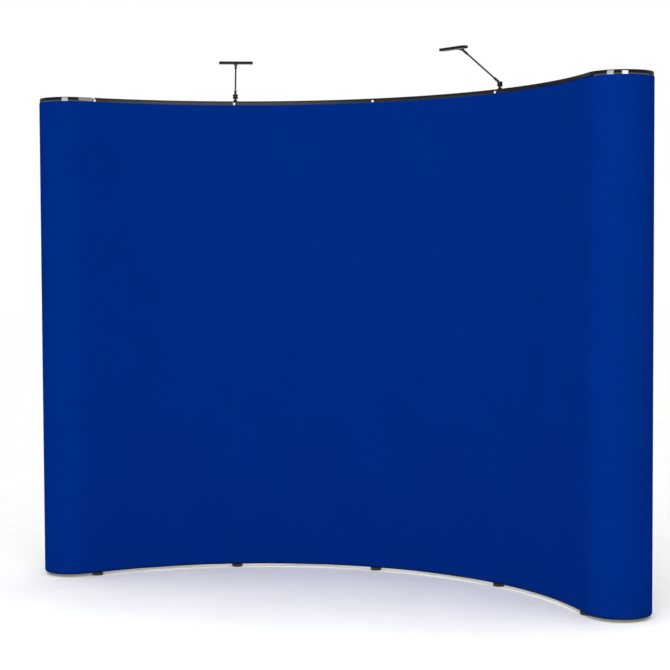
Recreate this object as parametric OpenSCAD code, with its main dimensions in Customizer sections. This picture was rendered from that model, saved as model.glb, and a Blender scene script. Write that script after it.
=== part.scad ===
// Curved pop-up exhibition wall: a folding lattice of struts and hubs, erected and locked,
// clad with hung fabric panels, two wrap-round end panels and two clip-on lights.
// Millimetres. The concave display side faces -Y, and z = 0 is the floor.

/* [Wall] */
// Radius of the panels' front face, in plan
wall_r = 1429; // [1200:1:1800]
// Angle that one bay turns through, column to column
bay_angle = 27; // [22:0.5:30]
// Height of the wall to the top of the black rails
wall_h = 2240; // [1800:1:2700]
// Gap between the floor and the bottom rails
floor_gap = 15; // [12:0.5:25]
// Thickness of a fabric panel
panel_t = 3; // [2:0.1:4]

/* [End panels] */
// Straight run of an end panel before it turns back
end_run = 70; // [60:1:120]
// Width of the lip that an end panel lays over the rear bar
end_lip = 17; // [12:0.5:18]

/* [Rails, bars and tapes] */
// Thickness of the panel rails and magnetic tapes
rail_t = 3; // [2:0.1:4]
// Height of a rail
rail_h = 34; // [28:1:45]
// How much of a top rail shows above the fabric
top_show = 19.5; // [19.5:0.5:24]
// How much of a bottom rail shows below the fabric
bottom_show = 6; // [3:0.5:12]
// Width of a channel bar
bar_w = 38; // [34:0.5:39]
// Thickness of a channel bar
bar_t = 8; // [6:0.5:10]
// Width of a magnetic tape
tape_w = 17; // [12:0.5:17]

/* [Frame] */
// Distance between the centres of a front hub and its rear hub
hub_depth = 226; // [190:1:300]
// Width and height of a hub
hub_w = 48; // [48:0.5:54]
// Thickness of a hub, front to back
hub_t = 22; // [20:0.5:26]
// Outer diameter of a strut tube
strut_d = 13; // [12:0.5:14]
// Wall of a strut tube
strut_wall = 1.3; // [1:0.1:2]
// Thickness of the flat tab at a strut's end
tab_t = 6; // [5:0.1:6]
// Diameter of the pins that hinge the struts
pin_d = 4; // [3:0.1:4.5]
// Outer diameter of a lock rod
lock_d = 12; // [10:0.5:12.5]
// Outer diameter of the magnetic lock cups
cup_d = 19; // [18:0.5:24]

/* [Feet and hooks] */
// Diameter of a foot
foot_d = 52; // [44:1:60]
// Diameter of the white hook heads
hook_d = 12; // [10:0.5:13]
// Depth of the hook pins' centres below the top of the wall
hook_drop = 13; // [12:0.5:14]

/* [Lights] */
// Length of a light's arm between its two pivots
arm_len = 270; // [200:1:350]
// Diameter of a light's arm
arm_d = 8; // [6:0.5:9]
// Rise of the left light's arm above level
left_rise = 26.5; // [20:0.5:40]
// Rise of the right light's arm above level
right_rise = 29; // [20:0.5:40]
// Length of a light head
head_w = 155; // [120:1:200]
// Front-to-back depth of a light head
head_d = 30; // [24:1:40]
// Thickness of a light head
head_h = 11; // [10:0.5:16]
// Distance from the arm's tip to the middle of the head
head_reach = 53; // [40:1:70]

/* [Hidden] */
$fn = 64;
// Bays and rows of the lattice, which fix the list of nodes
bays = 4;
rows = 3;
columns = bays + 1;
// Seating gap between pieces, and the wider one where an end panel lifts off
gap = 0.3;
lift_gap = 0.8;
// Radial clearance of a pin in a hub, and of a tube in a socket
pin_clear = 0.05;
fit_clear = 0.1;

// Depths behind the front face of the panels
rail_y = panel_t + gap;
bar_y = rail_y + rail_t + gap;
hub_y = bar_y + bar_t + gap + hub_t / 2;
rear_hub_y = hub_y + hub_depth;
rear_bar_y = rear_hub_y + hub_t / 2 + gap;
wrap_w = rear_bar_y + bar_t + lift_gap + rail_t + gap + panel_t;
end_r = wrap_w / 2;

// The arc's centre, placed so that the whole object is centred on the origin
end_angle = bays / 2 * bay_angle;
wrap_front = (wall_r + end_r) * cos(end_angle) - end_run * sin(end_angle) - end_r;
arc_y = -(wrap_front + wall_r + rear_hub_y + foot_d / 2) / 2;

// Heights
fabric_bottom = floor_gap + bottom_show;
fabric_top = wall_h - top_show;
bar_bottom = floor_gap + 1;
bar_top = wall_h - 4;
first_row = floor_gap + hub_w / 2;
last_row = bar_top - hub_w / 2;
row_pitch = (last_row - first_row) / rows;
tape_bottom = floor_gap + rail_h + 1;
tape_top = wall_h - rail_h - 1;
hook_z = wall_h - hook_drop;

// Hubs and struts
strut_off = strut_d / 2 + gap / 2;
tab_r = 6.5;
tab_run = 14;
plug_run = 12;
tab_w = 11;
pin_x = hub_w / 2 - 5;
slot_x = pin_x - tab_r - 0.5;
slot_h = tab_t + 2 * gap;
pin_len = slot_h + 8;
socket_depth = 6;
jaw_t = 3.5;
jaw_run = 6;
jaw_h = 32;
rivet_head_r = 4;
rivet_head_t = 2;

// Bay scissors: half spans at the front and rear pins, seen from the middle of the bay
half_bay = bay_angle / 2;
front_u = (wall_r + hub_y) * sin(half_bay) - pin_x * cos(half_bay);
rear_u = (wall_r + rear_hub_y) * sin(half_bay) - pin_x * cos(half_bay);
front_v = (wall_r + hub_y) * cos(half_bay) + pin_x * sin(half_bay);
bay_dv = hub_depth * cos(half_bay);
bay_span = sqrt((front_u + rear_u) ^ 2 + bay_dv ^ 2);
bay_heading = atan2(bay_dv, front_u + rear_u);
bay_cross = bay_span * front_u / (front_u + rear_u);
// Column scissors
column_rise = row_pitch - 2 * pin_x;
column_span = sqrt(column_rise ^ 2 + hub_depth ^ 2);
column_heading = atan2(column_rise, hub_depth);

// Locks
lock_mid = hub_y + hub_depth / 2;
cup_back = 18;
cup_mouth = 6;
cup_grip = 10;
nose_r = 6.7;
nose_len = 8;

// Lights
plate_t = 5;
clamp_z = bar_top + gap;
jaw_y = hub_t / 2 + gap;
clamp_jaw_t = 6;
clamp_screw_z = bar_top - 6;
screw_r = 2.5;
post_r = 4;
swivel_z = wall_h + 13;
swivel_r = 12;
swivel_t = 9;
pivot_z = wall_h + 29;
ear_t = 5;
eye_r = 6.5;
eye_t = 9.2;
tip_r = 6;
tip_t = 6;
head_ear_t = 3.5;
lens_t = 1.5;
lens_rim = 5;

front_names = [for (i = [1:bays]) str("front_panel_", i)];
top_names = [for (i = [1:bays]) str("front_top_rail_", i)];
bottom_names = [for (i = [1:bays]) str("front_bottom_rail_", i)];
bar_names = [for (i = [1:columns]) str("channel_bar_", i)];
bay_names = [for (i = [1:bays]) str("bay_struts_", i)];
column_names = [for (i = [1:columns]) str("column_struts_", i)];
side_names = ["left", "right"];
end_parts = ["end_panel", "end_top_rail", "end_bottom_rail", "end_tapes", "rear_bar"];
light_parts = ["clamp", "screw", "swivel", "arm", "head", "lens"];
end_names = [for (p = end_parts) for (s = side_names) str(p, "_", s)];
light_names = [for (p = light_parts) for (s = side_names) str("light_", p, "_", s)];
frame_names = ["front_hubs", "rear_hubs", "scissor_rivets", "hub_pins", "front_lock_rods",
    "rear_lock_rods", "lock_cups", "lock_plugs", "feet", "hook_pins", "front_tapes"];

fabric_blue = [0.0, 0.17, 0.51];
gloss_black = [0.05, 0.05, 0.06];
satin_black = [0.09, 0.09, 0.10];
tube_grey = [0.72, 0.73, 0.75];

// Angle of a column from the middle of the wall; columns and bays count from the left
function column_angle(i) = (i - 1 - bays / 2) * bay_angle;
function bay_mid(i) = column_angle(i) + half_bay;
function row_z(j) = first_row + j * row_pitch;
function side_of(s) = s == "left" ? -1 : 1;

// Local frame on a radius: +X runs along the wall, +Y outwards from the arc's centre
module on_radius(angle) {
    translate([0, arc_y, 0]) rotate([0, 0, -angle]) children();
}

module at_column(i) {
    on_radius(column_angle(i)) translate([0, wall_r, 0]) children();
}

// Local frame of an end panel: origin on the front seam, +X away from the wall
module at_end(s) {
    mirror([side_of(s) < 0 ? 1 : 0, 0, 0]) at_column(columns) children();
}

// A block given by its two opposite corners
module block(low, high) {
    translate(low) cube(high - low);
}

// A block with round vertical corners
module round_block(size, r) {
    for (x = [-1, 1]) for (y = [-1, 1])
        translate([x * (size.x / 2 - r), y * (size.y / 2 - r), 0]) cylinder(r = r, h = size.z);
    block([-size.x / 2, r - size.y / 2, 0], [size.x / 2, size.y / 2 - r, size.z]);
    block([r - size.x / 2, -size.y / 2, 0], [size.x / 2 - r, size.y / 2, size.z]);
}

// A cylinder along X, Y or Z, centred on the origin
module rod_x(r, length) { rotate([0, 90, 0]) cylinder(r = r, h = length, center = true); }
module rod_z(r, length) { cylinder(r = r, h = length, center = true); }
module rod_y(r, y0, y1) { translate([0, y1, 0]) rotate([90, 0, 0]) cylinder(r = r, h = y1 - y0); }

// Curved strip across one bay, from depth y to y + t behind the front face
module bay_strip(i, y, t, z0, z1, margin = 0.5) {
    r = wall_r + y;
    trim = margin / r * 180 / PI;
    a = bay_angle - 2 * trim;
    translate([0, arc_y, 0]) rotate([0, 0, 90 - column_angle(i) - bay_angle + trim])
        rotate_extrude(angle = a, $fn = 360) translate([r, z0]) square([t, z1 - z0]);
}

// Strip of an end panel's wrap: in along the wall, round the end and back to the rear bar
module wrap_strip(y, t, z0, z1, x0, x1) {
    outer = end_r - y;
    translate([end_run, end_r, 0]) rotate([0, 0, -90])
        rotate_extrude(angle = 180, $fn = 180) translate([outer - t, z0]) square([t, z1 - z0]);
    block([x0, y, z0], [end_run, y + t, z1]);
    block([x1, wrap_w - y - t, z0], [end_run, wrap_w - y, z1]);
}

module front_panel(i) {
    color(fabric_blue) bay_strip(i, 0, panel_t, fabric_bottom, fabric_top);
}

// The hanger rail is notched at both ends for the hook pins
module front_top_rail(i) {
    color(gloss_black) difference() {
        bay_strip(i, rail_y, rail_t, wall_h - rail_h, wall_h);
        for (c = [i, i + 1]) at_column(c) translate([0, 0, hook_z]) rod_y(3 + gap, 0, bar_y);
    }
}

module front_bottom_rail(i) {
    color(gloss_black) bay_strip(i, rail_y, rail_t, floor_gap, floor_gap + rail_h);
}

// Strips of magnetic tape behind both upright edges of every front panel
module front_tapes() {
    color(satin_black) for (c = [1:columns]) for (d = [-1, 1])
        if (c + d >= 1 && c + d <= columns) at_column(c)
            block([d > 0 ? 1 : -1 - tape_w, rail_y, tape_bottom],
                [d > 0 ? 1 + tape_w : -1, rail_y + rail_t, tape_top]);
}

module end_panel(s) {
    color(fabric_blue) at_end(s)
        wrap_strip(0, panel_t, fabric_bottom, fabric_top, 0.5, -end_lip);
}

module end_top_rail(s) {
    color(gloss_black) at_end(s)
        wrap_strip(rail_y, rail_t, wall_h - rail_h, wall_h, hook_d / 2 + 3, hub_w / 2 + 1);
}

module end_bottom_rail(s) {
    color(gloss_black) at_end(s)
        wrap_strip(rail_y, rail_t, floor_gap, floor_gap + rail_h, 1, hub_w / 2 + 1);
}

module end_tapes(s) {
    far_y = wrap_w - rail_y;
    color(satin_black) at_end(s) {
        block([1, rail_y, tape_bottom], [1 + tape_w, rail_y + rail_t, tape_top]);
        block([-end_lip, far_y - rail_t, tape_bottom], [end_lip, far_y, tape_top]);
    }
}

// One bar is three lengths that meet at the middle hubs, with a groove for magnetic strip
module bar_sections() {
    cuts = [bar_bottom, row_z(1), row_z(2), bar_top];
    difference() {
        for (j = [0:2])
            block([-bar_w / 2, 0, cuts[j] + gap / 2], [bar_w / 2, bar_t, cuts[j + 1] - gap / 2]);
        block([5 - bar_w / 2, -1, bar_bottom + 10], [bar_w / 2 - 5, 1, bar_top - 40]);
    }
}

module channel_bar(i) {
    color(satin_black) at_column(i) difference() {
        translate([0, bar_y, 0]) bar_sections();
        translate([0, 0, hook_z]) rod_y(3 + gap, 0, hub_y);
    }
}

module rear_bar(s) {
    color(satin_black) at_end(s)
        translate([0, rear_bar_y + bar_t, 0]) mirror([0, 1, 0]) bar_sections();
}

// Hub with four slotted sides, its inner face towards +Y; jaws hold a bar on the outer face
module hub(jaws, hook) {
    difference() {
        union() {
            intersection() {
                cube([hub_w, hub_t, hub_w], center = true);
                rod_y(hub_w * 0.6, -hub_t, hub_t);
            }
            if (jaws) for (d = [-1, 1]) translate([d * (bar_w + 2 * gap + jaw_t) / 2, 0, 0])
                block([-jaw_t / 2, -hub_t / 2 - jaw_run, -jaw_h / 2], [jaw_t / 2, 0, jaw_h / 2]);
        }
        for (turn = [0, 180]) rotate([0, turn, 0]) {
            block([slot_x, -tab_r - 1, strut_off - slot_h / 2], [hub_w, hub_t, strut_off + slot_h / 2]);
            translate([pin_x, 0, strut_off]) rod_z(pin_d / 2 + pin_clear, pin_len + gap);
        }
        for (turn = [0, 180]) rotate([0, turn, 0]) {
            block([strut_off - slot_h / 2, -tab_r - 1, slot_x], [strut_off + slot_h / 2, hub_t, hub_w]);
            translate([strut_off, 0, pin_x]) rod_x(pin_d / 2 + pin_clear, pin_len + gap);
        }
        rod_y(lock_d / 2 + fit_clear, hub_t / 2 - socket_depth, hub_t);
        if (hook) translate([0, 0, hook_z - last_row])
            rod_y(3 + pin_clear, -hub_t, socket_depth - hub_t / 2);
    }
}

module front_hubs() {
    color(satin_black) for (i = [1:columns]) for (j = [0:rows])
        at_column(i) translate([0, hub_y, row_z(j)]) hub(true, j == rows);
}

module rear_hubs() {
    color(satin_black) for (i = [1:columns]) for (j = [0:rows])
        at_column(i) translate([0, rear_hub_y, row_z(j)])
            rotate([0, 0, 180]) hub(i == 1 || i == columns, false);
}

// Tube from pin to pin along X, its pins along Z, with a rivet hole where two struts cross
module strut(span, cross) {
    difference() {
        union() {
            translate([span / 2, 0, 0]) difference() {
                rod_x(strut_d / 2, span - 2 * tab_run);
                rod_x(strut_d / 2 - strut_wall, span);
            }
            for (x = [0, span]) translate([x, 0, 0]) {
                rod_z(tab_r, tab_t);
                run = x == 0 ? tab_run + plug_run : -tab_run - plug_run;
                block([min(0, run), -tab_w / 2, -tab_t / 2], [max(0, run), tab_w / 2, tab_t / 2]);
            }
        }
        for (x = [0, span]) translate([x, 0, 0]) rod_z(pin_d / 2 + fit_clear, 2 * tab_t);
        translate([cross, 0, 0]) rod_z(pin_d / 2 + fit_clear, 2 * strut_d);
    }
}

// Both struts of a bay's scissor at one row: the second is the first one's mirror image
module bay_scissor() {
    for (m = [0, 1]) mirror([m, 0, 0])
        translate([-front_u, front_v, m == 0 ? strut_off : -strut_off])
            rotate([0, 0, bay_heading]) strut(bay_span, bay_cross);
}

module bay_struts(i) {
    color(tube_grey) on_radius(bay_mid(i)) for (j = [0:rows])
        translate([0, 0, row_z(j)]) bay_scissor();
}

module column_struts(i) {
    color(tube_grey) at_column(i) for (j = [0:rows - 1]) {
        translate([strut_off, hub_y, row_z(j) + pin_x]) rotate([90, 0, 90])
            rotate([0, 0, column_heading]) strut(column_span, column_span / 2);
        translate([-strut_off, rear_hub_y, row_z(j) + pin_x]) rotate([90, 0, 90])
            rotate([0, 0, 180 - column_heading]) strut(column_span, column_span / 2);
    }
}

// Rivet along Z through both struts of a scissor
module rivet() {
    reach = strut_off + strut_d / 2 + gap / 2;
    rod_z(pin_d / 2, 2 * reach);
    for (m = [0, 1]) mirror([0, 0, m]) translate([0, 0, reach]) cylinder(r = rivet_head_r, h = rivet_head_t);
}

module scissor_rivets() {
    color("silver") {
        for (i = [1:bays]) for (j = [0:rows]) on_radius(bay_mid(i))
            translate([0, front_v + bay_cross * sin(bay_heading), row_z(j)]) rivet();
        for (i = [1:columns]) for (j = [0:rows - 1]) at_column(i)
            translate([0, lock_mid, row_z(j) + row_pitch / 2]) rotate([0, 90, 0]) rivet();
    }
}

// Hinge pins of one hub: sideways pins where a bay joins, upright ones where a column goes on
module pins_of_hub(left, right, below, above) {
    if (right) translate([pin_x, 0, strut_off]) rod_z(pin_d / 2, pin_len);
    if (left) translate([-pin_x, 0, -strut_off]) rod_z(pin_d / 2, pin_len);
    if (above) translate([strut_off, 0, pin_x]) rod_x(pin_d / 2, pin_len);
    if (below) translate([-strut_off, 0, -pin_x]) rod_x(pin_d / 2, pin_len);
}

module hub_pins() {
    color("silver") for (i = [1:columns]) for (j = [0:rows]) at_column(i) translate([0, 0, row_z(j)]) {
        translate([0, hub_y, 0]) pins_of_hub(i > 1, i < columns, j > 0, j < rows);
        translate([0, rear_hub_y, 0]) rotate([0, 0, 180])
            pins_of_hub(i < columns, i > 1, j > 0, j < rows);
    }
}

// Places a part on the line between every front hub and its rear hub
module at_locks() {
    for (i = [1:columns]) for (j = [0:rows]) at_column(i) translate([0, 0, row_z(j)]) children();
}

module lock_tube(y0, y1) {
    difference() {
        rod_y(lock_d / 2, y0, y1);
        rod_y(lock_d / 2 - 1.5, y0 - 1, y1 + 1);
    }
}

module front_lock_rods() {
    color(tube_grey) at_locks()
        lock_tube(hub_y + hub_t / 2 - socket_depth + gap, lock_mid - cup_back + cup_grip);
}

module rear_lock_rods() {
    color(tube_grey) at_locks()
        lock_tube(lock_mid + cup_grip, rear_hub_y - hub_t / 2 + socket_depth - gap);
}

module lock_cups() {
    color(satin_black) at_locks() difference() {
        rod_y(cup_d / 2, lock_mid - cup_back, lock_mid + cup_mouth);
        rod_y(lock_d / 2 + fit_clear, lock_mid - cup_back - 1, lock_mid - cup_back + cup_grip + gap);
        rod_y(nose_r + gap, lock_mid + cup_mouth - nose_len, lock_mid + cup_mouth + 1);
    }
}

module lock_plugs() {
    back = lock_mid + cup_grip + cup_grip;
    color(satin_black) at_locks() difference() {
        union() {
            rod_y(cup_d / 2, lock_mid + cup_mouth + gap, back);
            rod_y(nose_r, lock_mid + cup_mouth + gap - nose_len, lock_mid + cup_mouth + 1);
        }
        rod_y(lock_d / 2 + fit_clear, lock_mid + cup_grip - gap, back + 1);
    }
}

// Moulded foot under every bottom hub
module foot() {
    h = floor_gap - gap;
    r = foot_d / 2;
    rotate_extrude() polygon([[0, 0], [r - 2, 0], [r, 3], [r, h - 5], [r - 6, h], [0, h]]);
}

module feet() {
    color(satin_black) for (i = [1:columns]) for (y = [hub_y, rear_hub_y])
        at_column(i) translate([0, y, 0]) foot();
}

// White hook pins in the seams, on the front top hubs
module hook_pins() {
    color("white") for (i = [1:columns]) at_column(i) translate([0, 0, hook_z]) {
        rod_y(hook_d / 2, 0, panel_t);
        rod_y(3, 0, hub_y - hub_t / 2 + socket_depth - gap);
    }
}

// Local frame of a light: its post's axis, over the slot of a top front hub
module at_light(s) {
    at_column(side_of(s) < 0 ? 2 : bays) translate([strut_off, hub_y, 0]) children();
}

// The clamp drops a tongue into the hub's slot and a jaw behind it, and carries the post
module light_clamp(s) {
    color(satin_black) at_light(s) difference() {
        union() {
            block([-15, -hub_t / 2, clamp_z], [15, jaw_y + clamp_jaw_t, clamp_z + plate_t]);
            block([-15, jaw_y, clamp_z - 15], [15, jaw_y + clamp_jaw_t, clamp_z + plate_t]);
            block([-tab_t / 2, -tab_r, clamp_z - 11], [tab_t / 2, hub_t / 2 - 1, clamp_z + 1]);
            translate([0, 0, clamp_z]) cylinder(r = post_r, h = swivel_z + 7 - clamp_z);
        }
        translate([0, 0, clamp_screw_z]) rod_y(screw_r + fit_clear, jaw_y - 1, jaw_y + 20);
    }
}

module light_screw(s) {
    color(satin_black) at_light(s) translate([0, 0, clamp_screw_z]) {
        rod_y(screw_r, jaw_y, jaw_y + clamp_jaw_t + 3);
        rod_y(7, jaw_y + clamp_jaw_t + gap, jaw_y + clamp_jaw_t + 9);
    }
}

// Bolt along X with a head at each end
module bolt(r, length, head_r, head_t) {
    rod_x(r, length);
    for (d = [-1, 1]) translate([d * (length + head_t) / 2, 0, 0]) rod_x(head_r, head_t);
}

// The swivel turns on the post; its ears and bolt carry the arm
module light_swivel(s) {
    inner = eye_t / 2 + gap;
    color(satin_black) at_light(s) {
        difference() {
            union() {
                translate([0, 0, swivel_z]) cylinder(r = swivel_r, h = swivel_t);
                for (d = [-1, 1]) translate([d * (inner + ear_t / 2), 0, 0]) {
                    block([-ear_t / 2, -eye_r, swivel_z + 5], [ear_t / 2, eye_r, pivot_z]);
                    translate([0, 0, pivot_z]) rod_x(eye_r, ear_t);
                }
            }
            translate([0, 0, swivel_z - 1]) cylinder(r = post_r + fit_clear, h = 8 + gap);
            translate([0, 0, pivot_z]) rod_x(screw_r + pin_clear, 40);
        }
        translate([0, 0, pivot_z]) bolt(screw_r, 2 * (inner + ear_t) + gap, 4.5, 2.5);
    }
}

// An arm along -Y from its lower eye to the flat tab at its tip
module arm_bar() {
    difference() {
        union() {
            rod_x(eye_r, eye_t);
            rod_y(arm_d / 2, -arm_len + tip_r + 4, -3);
            rod_y(arm_d / 2 + 2, -40, -eye_r - 4);
            rod_y(arm_d / 2 + 1.5, -arm_len + tip_r + 4, -arm_len + 34);
            translate([0, -arm_len, 0]) rod_x(tip_r, tip_t);
            block([-tip_t / 2, -arm_len, -arm_d / 2], [tip_t / 2, -arm_len + 16, arm_d / 2]);
        }
        rod_x(screw_r + fit_clear, 40);
        translate([0, -arm_len, 0]) rod_x(2 + fit_clear, 40);
    }
}

function rise_of(s) = s == "left" ? left_rise : right_rise;

module light_arm(s) {
    color("dimgray") at_light(s) translate([0, 0, pivot_z]) rotate([-rise_of(s), 0, 0]) arm_bar();
}

// Local frame of a head, level at rest, with its origin on the arm's tip pivot
module at_head(s) {
    at_light(s) translate([0, -arm_len * cos(rise_of(s)), pivot_z + arm_len * sin(rise_of(s))])
        children();
}

module light_head(s) {
    inner = tip_t / 2 + gap;
    ear_x = inner + head_ear_t / 2;
    color(satin_black) at_head(s) {
        difference() {
            union() {
                for (d = [-1, 1]) translate([d * ear_x, 0, 0]) {
                    rod_x(tip_r, head_ear_t);
                    block([-head_ear_t / 2, -head_reach, -3.5], [head_ear_t / 2, 0, 3.5]);
                }
                translate([0, -head_reach, -head_h / 2]) round_block([head_w, head_d, head_h], 6);
            }
            rod_x(2 + pin_clear, 40);
            translate([0, -head_reach, -head_h / 2 - 1])
                round_block([head_w - 2 * lens_rim, head_d - 2 * lens_rim, 1 + lens_t + gap], 3);
        }
        bolt(2, 2 * (inner + head_ear_t) + gap, 3.5, 2);
    }
}

module light_lens(s) {
    rim = 2 * (lens_rim + gap);
    color("white") at_head(s) translate([0, -head_reach, -head_h / 2])
        round_block([head_w - rim, head_d - rim, lens_t], 3 - gap);
}

for (i = [1:bays]) {
    front_panel(i);
    front_top_rail(i);
    front_bottom_rail(i);
    bay_struts(i);
}
for (i = [1:columns]) {
    channel_bar(i);
    column_struts(i);
}
for (s = side_names) {
    end_panel(s);
    end_top_rail(s);
    end_bottom_rail(s);
    end_tapes(s);
    rear_bar(s);
    light_clamp(s);
    light_screw(s);
    light_swivel(s);
    light_arm(s);
    light_head(s);
    light_lens(s);
}
front_hubs();
rear_hubs();
scissor_rivets();
hub_pins();
front_lock_rods();
rear_lock_rods();
lock_cups();
lock_plugs();
feet();
hook_pins();
front_tapes();
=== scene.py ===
# %% [markdown]
# # A curved pop-up exhibition wall, dressed piece by piece
#
# The real wall is a folding lattice of aluminium struts and moulded hubs. It is pulled open, its
# magnetic rods lock it, channel bars clip to it, and fabric panels hang on the bars from their
# black rails. Two end panels wrap round the open ends, and two arm lights clip on top.
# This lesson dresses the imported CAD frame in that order. Units are metres, on the frame's own axes:
# the hollow display side faces -Y, and the floor is z = 0.

# %% Load the frame
import math

import bmesh
import bpy
import numpy as np
from mathutils import Matrix, Vector


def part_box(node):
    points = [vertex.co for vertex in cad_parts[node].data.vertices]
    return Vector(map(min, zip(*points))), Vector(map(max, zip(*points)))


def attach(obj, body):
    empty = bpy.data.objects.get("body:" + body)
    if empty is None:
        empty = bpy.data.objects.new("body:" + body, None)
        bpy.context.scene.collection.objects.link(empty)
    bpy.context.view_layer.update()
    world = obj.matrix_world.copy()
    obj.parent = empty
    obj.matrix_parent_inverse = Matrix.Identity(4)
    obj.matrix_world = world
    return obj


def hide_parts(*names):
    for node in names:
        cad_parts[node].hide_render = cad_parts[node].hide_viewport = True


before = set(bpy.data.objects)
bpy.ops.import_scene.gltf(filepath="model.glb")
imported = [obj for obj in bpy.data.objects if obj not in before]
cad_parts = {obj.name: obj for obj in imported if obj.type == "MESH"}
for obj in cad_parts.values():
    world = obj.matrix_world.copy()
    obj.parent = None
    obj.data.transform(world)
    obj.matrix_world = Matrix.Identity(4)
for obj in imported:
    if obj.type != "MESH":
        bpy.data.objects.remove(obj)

MM = 0.001
SIDES = ("left", "right")
WELD = 0.002 * MM  # points nearer than this are one point
scene = bpy.context.scene
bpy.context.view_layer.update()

# %% [markdown]
# ## The camera
#
# A display is usually shown from a little to one side, so that its curve reads. A long lens a few
# metres away keeps the uprights parallel. The camera could track an empty at the wall's middle;
# three plain turns are easier to read and to repeat: a turn to the left, a slight look down, and a
# hair of lean.

# %% Camera
CAMERA_AT = (2.863, -7.033, 1.486)
TURN, LOOK_DOWN, LEAN = (math.radians(a) for a in (22.895, -2.649, -0.254))
camera_data = bpy.data.cameras.new("camera")
camera_data.sensor_width = 36
camera_data.lens = 88.4
camera = bpy.data.objects.new("camera", camera_data)
scene.collection.objects.link(camera)
scene.camera = camera
camera.matrix_world = (
    Matrix.Translation(CAMERA_AT)
    @ Matrix.Rotation(TURN, 4, "Z")
    @ Matrix.Rotation(math.pi / 2 + LOOK_DOWN, 4, "X")
    @ Matrix.Rotation(LEAN, 4, "Z")
)
print("camera at", [round(v, 2) for v in camera.location], "lens", camera_data.lens, "mm")

# %% [markdown]
# ## Two small tools for colours and nodes
#
# Colours are written as the sRGB hex values that a paint card or a colour picker gives, and one
# function turns them into the linear values that a shader works in. A node tree could be clicked
# together by hand; here one helper adds a node, sets it and links it, so a finish is a few lines.

# %% Colour and node helpers
def linear(hex_colour):
    """sRGB hex to linear RGBA: c / 12.92 for dark values, else ((c + 0.055) / 1.055) to the 2.4."""
    srgb = np.array([int(hex_colour[k:k + 2], 16) / 255 for k in (1, 3, 5)])
    value = np.where(srgb <= 0.04045, srgb / 12.92, ((srgb + 0.055) / 1.055) ** 2.4)
    return (*value.tolist(), 1.0)


def add(tree, kind, inputs=None, **settings):
    """Adds a node; settings are its properties, inputs its sockets' values or what feeds them."""
    made = tree.nodes.new(kind)
    for key, value in settings.items():
        setattr(made, key, value)
    for key, value in (inputs or {}).items():
        if isinstance(value, bpy.types.NodeSocket):
            tree.links.new(value, made.inputs[key])
        else:
            made.inputs[key].default_value = value
    return made


print("royal blue in linear light:", [round(v, 4) for v in linear("#012b82")[:3]])

# %% [markdown]
# ## A white studio
#
# The wall stands in a white room. Matt cloth gathers light from everywhere, so the room lights it
# evenly. Gloss black mirrors the room, and would turn grey in it: a studio hangs black cloth where
# the gloss looks, and here the room is simply dimmer for mirrored rays.

# %% Colour handling and the room
scene.view_settings.view_transform = "Standard"
world = bpy.data.worlds.new("white_room")
scene.world = world
world.use_nodes = True
sky = world.node_tree
ROOM, MIRRORED_HORIZON, MIRRORED_CEILING, SEEN_WHITE = 1.1, 0.14, 1.3, 1.0
direction = add(sky, "ShaderNodeTexCoord")
parts = add(sky, "ShaderNodeSeparateXYZ", {"Vector": direction.outputs["Generated"]})
mirrored = add(sky, "ShaderNodeMapRange", {
    "Value": parts.outputs["Z"], "From Min": 0.3, "From Max": 0.9,
    "To Min": MIRRORED_HORIZON, "To Max": MIRRORED_CEILING}, interpolation_type="SMOOTHSTEP")
ray = add(sky, "ShaderNodeLightPath")
lit = add(sky, "ShaderNodeMapRange", {
    "Value": ray.outputs["Is Glossy Ray"], "To Min": ROOM, "To Max": mirrored.outputs["Result"]})
level = add(sky, "ShaderNodeMapRange", {
    "Value": ray.outputs["Is Camera Ray"], "To Min": lit.outputs["Result"], "To Max": SEEN_WHITE})
sky.links.new(level.outputs["Result"], sky.nodes["Background"].inputs["Strength"])
sky.nodes["Background"].inputs["Color"].default_value = linear("#ffffff")
print("room:", ROOM, "mirrored horizon:", MIRRORED_HORIZON)

# %% [markdown]
# ## Softboxes
#
# A large softbox in front of the right half is the key, and a long low one lifts the cloth near the
# floor. The other panels only show in reflections, and flags hide them from everything but the
# rails that should mirror them: light linking plays the flags here. A sky texture would also light
# the wall, but flat panels are what a studio has.

# %% Softboxes
FLAGS = ("front", "ends", *SIDES)
flagged = {name: bpy.data.collections.new(f"mirror_for_{name}") for name in FLAGS}


def softbox(name, at, aim, size, radiance, mirrored=False, flag=None):
    """
    An area light; a flat panel sends out pi times its radiance from each square metre. A mirrored
    one only shows in reflections, and a flag names the rails that alone can see it.
    """
    light = bpy.data.lights.new(name, "AREA")
    light.shape = "RECTANGLE"
    light.size, light.size_y = size
    light.energy = radiance * math.pi * size[0] * size[1]
    box = bpy.data.objects.new(name, light)
    box.location = at
    box.rotation_mode = "QUATERNION"
    box.rotation_quaternion = (Vector(aim) - Vector(at)).to_track_quat("-Z", "Y")
    box.visible_camera = False
    box.visible_diffuse, box.visible_glossy = not mirrored, mirrored
    if flag:
        box.light_linking.receiver_collection = flagged[flag]
    scene.collection.objects.link(box)


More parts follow.
